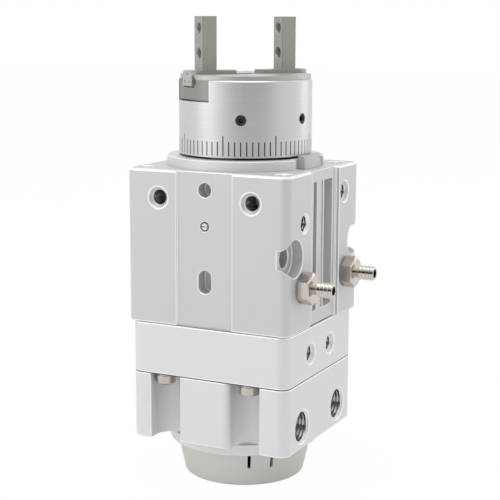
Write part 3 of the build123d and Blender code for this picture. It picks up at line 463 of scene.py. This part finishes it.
def tapped_wall(name, body, material, holes):
    """The threaded walls of some holes. A hole is its mouth, its inward direction, its radius, its
    pitch, its length and the depth of its countersink. The radius falls by a triangle wave of the
    depth over the pitch, less the angle over a full turn, and the wave fades out at both ends. Over
    the countersink the depth is below 0, and the radius grows as the depth falls."""
    all_points, all_faces, all_sinks, first = [], [], [], 0
    for mouth, inward, radius, pitch, length, sink in holes:
        rows = int(length / pitch * thread_rows) + 1
        axis = Vector(inward).normalized()
        side = axis.orthogonal().normalized()
        other = axis.cross(side)
        angle = np.linspace(0.0, 2 * np.pi, circle_steps, endpoint=False)
        depth = np.linspace(0.0, length, rows)
        if sink:
            depth = np.insert(depth, 0, -sink)
            rows += 1
        angle, depth = np.meshgrid(angle, depth)
        phase = (depth / pitch - angle / (2 * np.pi)) % 1.0
        fade = np.clip(np.minimum(depth, length - depth) / (0.5 * pitch), 0.0, 1.0)
        ridge = thread_rise * pitch * (1.0 - np.abs(2.0 * phase - 1.0)) * fade
        reach = radius - ridge - np.minimum(depth, 0.0)
        points = np.array(mouth) + reach[..., None] * np.cos(angle)[..., None] * np.array(side)
        points = points + reach[..., None] * np.sin(angle)[..., None] * np.array(other)
        points = points + depth[..., None] * np.array(axis)
        index = first + np.arange(rows * circle_steps).reshape(rows, circle_steps)
        beside = np.roll(index, -1, axis=1)
        quads = np.stack([index[:-1], index[1:], beside[1:], beside[:-1]], axis=-1)
        all_points.append(points.reshape(-1, 3))
        all_faces.append(quads.reshape(-1, 4))
        in_sink = np.zeros(quads.shape[:2], dtype=np.int32)
        in_sink[0] = 1 if sink else 0
        all_sinks.append(in_sink.reshape(-1))
        first += rows * circle_steps
    points = np.concatenate(all_points) * mm
    # The countersinks take the pale edge material: a painted highlight.
    wall = new_piece(name, points, np.concatenate(all_faces), [material, edge_highlight])
    wall.data.polygons.foreach_set("material_index", np.concatenate(all_sinks))
    wall.data.shade_smooth()
    wall.data.set_sharp_from_angle(angle=sharp_angle)
    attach(wall, body)


# The thread walls are a darker grey than the blocks: painted shade inside the holes.
thread_shaded = satin_metal("thread_shaded", thread_shade_grey, metallic=1.0, roughness=0.25, bump=0.2)
block_holes = []
for x in (-front_tap_x, front_tap_x):
    block_holes.append(((x, front_tap_y, front_tap_z), to_rear, *m5_thread, tap_long, tap_sink))
block_holes.append(((24.9, -14.8, -13.75), to_left, *m5_thread, tap_long, pad_sink))
block_holes.append(((25.5, 10.7, -7.7), to_left, *m5_thread, tap_long, tap_sink))
for y in (-9.0, 4.6):
    block_holes.append(((port_x, y, port_z), to_left, *m5_thread, port_long, tap_sink))
for y in (-20.0, 16.0):
    for x in (-top_tap_x, top_tap_x):
        block_holes.append(((x, y, top_tap_z), to_below, *m4_thread, top_long, top_sink))
for y in (-14.45, 10.75):
    mouth = (adjuster_x, y, adjuster_z)
    block_holes.append((mouth, to_left, *adjuster_thread, adjuster_long, adjuster_sink))
tapped_wall("block_threads", "housing", thread_shaded, block_holes)


# Painted shade round the slotted plug.
# A thin dark ring on the strip round the plug: painted shade for the narrow gap in which it sits.

plug_centre = (0.0, -24.91 * mm, -15.0 * mm)
gap_shade_inner, gap_shade_outer = 0.95 * mm, 1.30 * mm


def shade_ring_round_plug():
    """A flat ring that faces the front: its inner and outer circle about the plug's centre."""
    angle = np.linspace(0.0, 2 * np.pi, circle_steps, endpoint=False)
    circles = []
    for radius in (gap_shade_inner, gap_shade_outer):
        x = plug_centre[0] + radius * np.cos(angle)
        z = plug_centre[2] + radius * np.sin(angle)
        circles.append(np.stack([x, np.full_like(x, plug_centre[1]), z], axis=-1))
    row = np.arange(circle_steps)
    beside = np.roll(row, -1)
    faces = np.stack([row, row + circle_steps, beside + circle_steps, beside], axis=-1)
    # A dark ring of painted shade in the gap round the plug.
    ring = new_piece("plug_gap_shade", np.concatenate(circles), faces, [gap_shade_dark])
    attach(ring, "housing")


shade_ring_round_plug()


# Scale pointer.
# A small milled block screwed to the boss ring, coated a darker grey, that carries the index
# line of the dial.

pointer_grey = (0.48, 0.48, 0.485, 1.0)
pointer_edge = 0.12 * mm
pointer_coat = satin_metal("pointer_coat", pointer_grey, metallic=0.3, roughness=0.5, depth=0.12)
dressed("scale_pointer", "housing", pointer_coat, pointer_edge)


# Dial.
# A ring turned from aluminium bar: fine rings round it from the turning tool, engraved marks
# filled with black paint, and clear anodised.

dial_grey = (0.60, 0.60, 0.59, 1.0)
mark_black = (0.03, 0.03, 0.035, 1.0)
dial_radius = 19.0 * mm
skin_depth = 0.02 * mm
mark_floor_radius = 18.975 * mm
mark_ceiling = 10.0 * mm
ring_scale = 3000.0
ring_dark, ring_light = 0.90, 1.06
dial_metallic = 0.85
dial_depth = 0.06
dial_bump = 0.2


def axis_distance(tree, place):
    """The distance of a place from the axis of the gripper."""
    level = tree.nodes.new("ShaderNodeVectorMath")
    level.operation = "MULTIPLY"
    level.inputs[1].default_value = (1.0, 1.0, 0.0)
    tree.links.new(place, level.inputs[0])
    length = tree.nodes.new("ShaderNodeVectorMath")
    length.operation = "LENGTH"
    tree.links.new(level.outputs["Vector"], length.inputs[0])
    return length.outputs["Value"]


def mask(tree, value, test, limit):
    """1 where a value passes the test against a limit, 0 elsewhere."""
    node = tree.nodes.new("ShaderNodeMath")
    node.operation = test
    node.inputs[1].default_value = limit
    tree.links.new(value, node.inputs[0])
    return node.outputs["Value"]


def turned_metal(name, colour, roughness, marks):
    """Turned aluminium: rings along Z, and black paint in what is engraved below the skin."""
    material, tree, shader, place = plain_material(name)
    apart = tree.nodes.new("ShaderNodeSeparateXYZ")
    tree.links.new(place, apart.inputs["Vector"])
    rings = tree.nodes.new("ShaderNodeTexNoise")
    rings.noise_dimensions = "1D"
    rings.inputs["Scale"].default_value = ring_scale
    rings.inputs["Detail"].default_value = 2.0
    tree.links.new(apart.outputs["Z"], rings.inputs["W"])
    grain = grain_node(tree, place, colour, roughness, block_grain, dial_depth)
    band = tree.nodes.new("ShaderNodeMapRange")
    band.inputs["To Min"].default_value = ring_dark
    band.inputs["To Max"].default_value = ring_light
    tree.links.new(rings.outputs["Fac"], band.inputs["Value"])
    tint = tree.nodes.new("ShaderNodeVectorMath")
    tint.operation = "SCALE"
    tree.links.new(grain.outputs["Color"], tint.inputs[0])
    tree.links.new(band.outputs["Result"], tint.inputs["Scale"])
    colour_out = tint.outputs["Vector"]
    if marks:
        sunk = mask(tree, axis_distance(tree, place), "LESS_THAN", mark_floor_radius)
        low = mask(tree, apart.outputs["Z"], "LESS_THAN", mark_ceiling)
        painted = tree.nodes.new("ShaderNodeMath")
        painted.operation = "MULTIPLY"
        tree.links.new(sunk, painted.inputs[0])
        tree.links.new(low, painted.inputs[1])
        paint = tree.nodes.new("ShaderNodeMix")
        paint.data_type = "RGBA"
        paint.inputs["B"].default_value = mark_black
        tree.links.new(painted.outputs["Value"], paint.inputs["Factor"])
        tree.links.new(colour_out, paint.inputs["A"])
        colour_out = paint.outputs["Result"]
    normal = shallow_bump(tree, rings.outputs["Fac"], dial_bump)
    shader.inputs["Metallic"].default_value = dial_metallic
    tree.links.new(colour_out, shader.inputs["Base Color"])
    tree.links.new(grain.outputs["Roughness"], shader.inputs["Roughness"])
    tree.links.new(normal, shader.inputs["Normal"])
    return material


def round_about_axis(piece, radius):
    """Give every corner on the cylinder of this radius the normal that points away from the axis:
    its place with the height left out, over its length. The other corners keep their normals."""
    piece.modifiers.clear()
    mesh = piece.data
    corners = len(mesh.loops)
    normals = np.empty(corners * 3, dtype=np.float32)
    mesh.corner_normals.foreach_get("vector", normals)
    normals = normals.reshape(-1, 3)
    points = np.empty(len(mesh.vertices) * 3, dtype=np.float32)
    mesh.vertices.foreach_get("co", points)
    points = points.reshape(-1, 3)
    owner = np.empty(corners, dtype=np.int32)
    mesh.loops.foreach_get("vertex_index", owner)
    totals = np.empty(len(mesh.polygons), dtype=np.int32)
    mesh.polygons.foreach_get("loop_total", totals)
    facing = np.empty(len(mesh.polygons) * 3, dtype=np.float32)
    mesh.polygons.foreach_get("normal", facing)
    facing = np.repeat(facing.reshape(-1, 3), totals, axis=0)
    place = points[owner]
    reach = np.hypot(place[:, 0], place[:, 1])
    outward = np.stack([place[:, 0] / reach, place[:, 1] / reach, np.zeros(corners)], axis=-1)
    square = (facing * outward).sum(axis=1)
    on_skin = (np.abs(reach - radius) < skin_depth) & (square > 0.9)
    normals = np.where(on_skin[:, None], outward, normals)
    mesh.normals_split_custom_set(normals.tolist())


dial_turned = turned_metal("dial_turned", dial_grey, roughness=0.38, marks=True)
rotor_turned = turned_metal("rotor_turned", dial_grey, roughness=0.42, marks=False)
dial_piece = dressed("dial", "rotor", dial_turned, 0.0)
round_about_axis(dial_piece, dial_radius)
dressed("rotor", "rotor", rotor_turned, 0.0)


# Guide rail and fingers.
# The rail and the two fingers are hardened steel, ground on all sides, a warmer and darker grey
# than the aluminium. The rail is painted dark below its top rim, painted shade on its end, and
# pale above it, a painted highlight. The end plates of the sliders are pale too.

rail_top_highlight_grey = (0.46, 0.45, 0.43, 1.0)
rail_end_shade_grey = (0.27, 0.265, 0.25, 1.0)
finger_grey = (0.34, 0.34, 0.31, 1.0)
plate_end_grey = (0.44, 0.44, 0.42, 1.0)
finger_edge = 0.12 * mm
steel_grain = 3200.0
rail_highlight_height = 24.4 * mm
plate_reach = 16.9 * mm


def second_tone(material, by_height, limit, colour):
    """Give a satin metal another colour above a height, or beyond a distance from the axis."""
    tree = material.node_tree
    grain = [node for node in tree.nodes if node.type == "GROUP"][0]
    place = [node for node in tree.nodes if node.type == "TEX_COORD"][0].outputs["Object"]
    if by_height:
        apart = tree.nodes.new("ShaderNodeSeparateXYZ")
        tree.links.new(place, apart.inputs["Vector"])
        measure = apart.outputs["Z"]
    else:
        measure = axis_distance(tree, place)
    blend = tree.nodes.new("ShaderNodeMix")
    blend.data_type = "RGBA"
    blend.inputs["A"].default_value = grain.inputs["Color"].default_value
    blend.inputs["B"].default_value = colour
    tree.links.new(mask(tree, measure, "GREATER_THAN", limit), blend.inputs["Factor"])
    tree.links.new(blend.outputs["Result"], grain.inputs["Color"])


ground_rail = satin_metal("ground_rail", rail_end_shade_grey, 0.7, 0.4, steel_grain, 0.2, 0.5)
ground_finger = satin_metal("ground_finger", finger_grey, 0.6, 0.45, steel_grain, 0.24, 0.5)
# The rail is painted darker below its top rim, as painted shade, and paler above it, as a painted
# highlight.
second_tone(ground_rail, True, rail_highlight_height, rail_top_highlight_grey)
second_tone(ground_finger, False, plate_reach, plate_end_grey)
dressed("guide_rail", "rotor", ground_rail, finger_edge)
dressed("right_finger", "right_finger", ground_finger, finger_edge)
dressed("left_finger", "left_finger", ground_finger, finger_edge)

opening = math.radians(55.0)
finger_hole_start = 10.9
finger_hole_long = 3.7
for side, sign in (("right", 1), ("left", -1)):
    outward = (sign * math.cos(opening), sign * math.sin(opening), 0.0)
    finger_holes = []
    for height in (38.45, 31.45):
        mouth = (finger_hole_start * outward[0], finger_hole_start * outward[1], height)
        finger_holes.append((mouth, outward, *m3_thread, finger_hole_long, 0.0))
    tapped_wall(side + "_finger_threads", side + "_finger", ground_finger, finger_holes)


# Nipples, screws and other plated fasteners.
# Turned brass and steel, plated: warm, bright and smooth. The plug in the front strip is plain
# aluminium, and the nipples sit on grey gaskets.

nickel_tone = (0.58, 0.545, 0.49, 1.0)
screw_tone = (0.55, 0.51, 0.46, 1.0)
plated_grain = 900.0
nickel = satin_metal("nickel", nickel_tone, 1.0, 0.22, plated_grain, 0.08, 0.15)
zinc = satin_metal("zinc", screw_tone, 1.0, 0.28, plated_grain, 0.08, 0.15)
for node in ("front_nipple", "rear_nipple"):
    dressed(node, "housing", nickel, fine_edge)
for node in ("clamp_screws", "clamp_washers", "cap_screws", "ring_screws"):
    dressed(node, "housing", zinc, 0.0)
dressed("slotted_plug", "housing", plate_satin, 0.0)
dressed("nipple_gaskets", "housing", gasket_and_gap_shade_grey, 0.0)


# Blackened screws.
# The set screws of the dial and the rail screws are black oxide steel; the angle adjusters are a
# paler grey.

black_tone = (0.05, 0.05, 0.055, 1.0)
adjuster_tone = (0.32, 0.32, 0.33, 1.0)
screw_grain = 1500.0
black_steel = satin_metal("black_steel", black_tone, 0.7, 0.4, screw_grain, 0.2, 0.3)
adjuster_steel = satin_metal("adjuster_steel", adjuster_tone, 0.8, 0.35, screw_grain, 0.15, 0.3)
dressed("dial_screws", "rotor", black_steel, 0.0)
dressed("rail_screws", "rotor", black_steel, 0.0)
dressed("angle_adjusters", "housing", adjuster_steel, 0.0)


# Cap.
# A moulded cap of warm light grey plastic over the position switches, with a fine matt texture
# and two slots for the switch leads.

cap_tone = (0.56, 0.56, 0.525, 1.0)
plastic_grain = 1800.0


def moulded_plastic(name, colour, roughness):
    """Matt moulded plastic: a fine leathery bump and a slight mottling."""
    return satin_metal(name, colour, 0.0, roughness, plastic_grain, depth=0.06, bump=0.3)


cap_plastic = moulded_plastic("cap_plastic", cap_tone, 0.5)
dressed("cap", "housing", cap_plastic, round_edge)


# Inner pieces.
# What the housing and the rotor hold: steel, bronze, rubber and magnet parts, seen only when
# the gripper is taken apart.

bright_tone = (0.60, 0.60, 0.61, 1.0)
bronze_tone = (0.45, 0.28, 0.11, 1.0)
rubber_tone = (0.02, 0.02, 0.02, 1.0)
magnet_tone = (0.10, 0.10, 0.11, 1.0)
board_tone = (0.02, 0.12, 0.05, 1.0)
inner_materials = {
    "dial_aluminium": rotor_turned,
    "rail_steel": ground_rail,
    "bright_steel": satin_metal("bright_steel", bright_tone, 1.0, 0.15, plated_grain, 0.05, 0.1),
    "bronze": satin_metal("bronze", bronze_tone, 1.0, 0.35, screw_grain, 0.15, 0.3),
    "seal_rubber": moulded_plastic("seal_rubber", rubber_tone, 0.6),
    "magnet": satin_metal("magnet", magnet_tone, 0.5, 0.5, screw_grain, 0.2, 0.4),
    "board": moulded_plastic("board", board_tone, 0.35),
}
slot_of = {}
for entry in frame["record"]["subparts"]:
    slot_of[entry["node"]] = entry["material_slot"]
for name, node in frame["nodes"].items():
    if not node.hide_render:
        node.data.materials.clear()
        node.data.materials.append(inner_materials[slot_of[name]])
